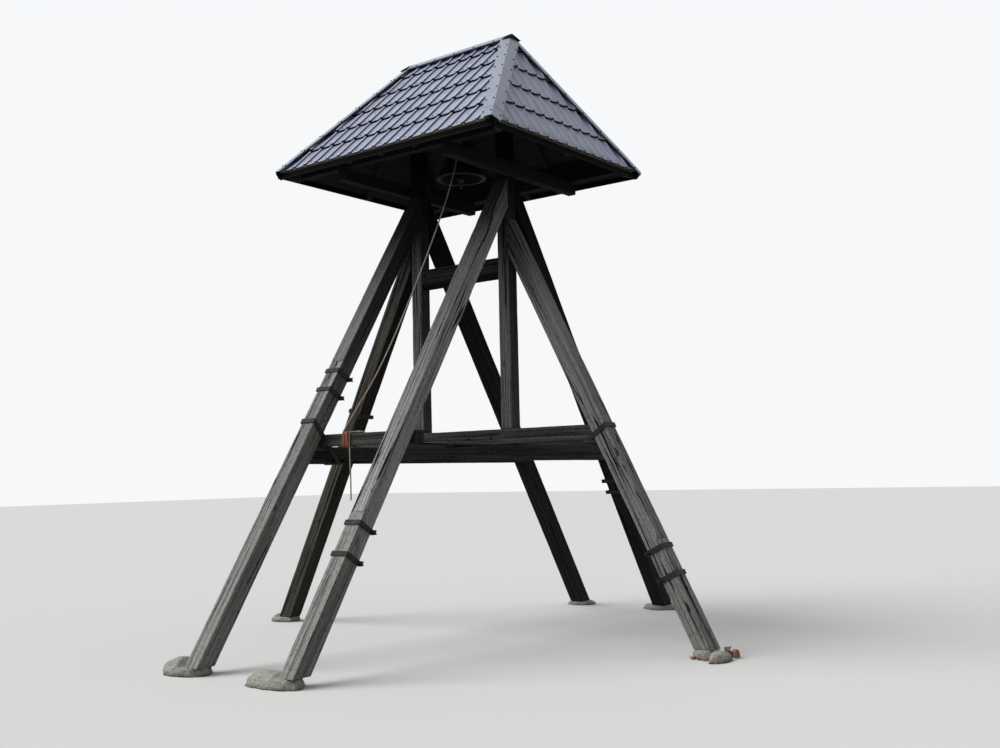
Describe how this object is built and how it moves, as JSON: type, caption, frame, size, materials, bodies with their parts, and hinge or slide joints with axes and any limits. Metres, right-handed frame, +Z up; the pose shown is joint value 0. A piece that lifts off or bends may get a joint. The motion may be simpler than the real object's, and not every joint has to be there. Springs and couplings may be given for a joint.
{
  "type": "open timber bell tower",
  "caption": "Open timber bell frame on raking legs with a ring of tie beams, a hipped tile-effect sheet roof, and a bell on a headstock rung by a rope.",
  "frame": {"origin": "on the ground, midway between the two posts", "axes": "+X along the ridge towards the right post, -Y towards the side with the bell rope, +Z up"},
  "size_m": [6.6602, 7.1217, 6.9145],
  "materials": {
    "weathered_oak": "weathered grey, deep checks",
    "tarred_oak": "weathered, tarred nearly black",
    "roof_timber": "weathered, dark",
    "roof_sheet": "satin coated steel, anthracite",
    "roof_cap": "satin coated steel, grey",
    "iron": "forged iron, black",
    "bell_bronze": "cast bronze with green-brown patina",
    "bell_rope": "twisted rope, faded red-brown",
    "field_stone": "rough grey granite"
  },
  "bodies": {
    "frame": {"back_tie": "tarred_oak", "bearers": "roof_timber", "bearings": "iron", "centre_tie_left": "tarred_oak", "centre_tie_right": "tarred_oak", "cross_piece": "tarred_oak", "front_tie": "tarred_oak", "hip_caps": "roof_cap", "leg_back_left": "tarred_oak", "leg_back_right": "tarred_oak", "leg_front_left_lower": "weathered_oak", "leg_front_left_upper": "weathered_oak", "leg_front_right_lower": "weathered_oak", "leg_front_right_upper": "weathered_oak", "leg_outer_left": "weathered_oak", "leg_outer_right_lower": "weathered_oak", "leg_outer_right_upper": "weathered_oak", "leg_straps": "iron", "plates": "roof_timber", "post_left": "tarred_oak", "post_right": "tarred_oak", "ridge_board": "roof_timber", "ridge_cap": "roof_cap", "roof_boards_back": "roof_timber", "roof_boards_front": "roof_timber", "roof_boards_left": "roof_timber", "roof_boards_right": "roof_timber", "roof_sheet_back": "roof_sheet", "roof_sheet_front": "roof_sheet", "roof_sheet_left": "roof_sheet", "roof_sheet_right": "roof_sheet", "rope": "bell_rope", "rope_tail": "bell_rope", "rope_turns": "bell_rope", "side_tie_left": "tarred_oak", "side_tie_right": "tarred_oak", "stones_back": "field_stone", "stones_front": "field_stone", "stones_outer": "field_stone"},
    "bell": {"bell": "bell_bronze", "bell_lever": "iron", "bell_straps": "iron", "gudgeons": "iron", "headstock": "tarred_oak"},
    "clapper": {"clapper": "iron"}
  },
  "joints": [
    {"name": "bell_swing", "type": "hinge", "parent": "frame", "child": "bell", "pos_m": [0, 0, 5.93], "axis": [1, 0, 0], "range_deg": [-50, 50], "deforming": ["rope"]},
    {"name": "clapper_swing", "type": "hinge", "parent": "bell", "child": "clapper", "pos_m": [0, 0, 5.7327], "axis": [1, 0, 0], "range_deg": [-28, 28]}
  ]
}
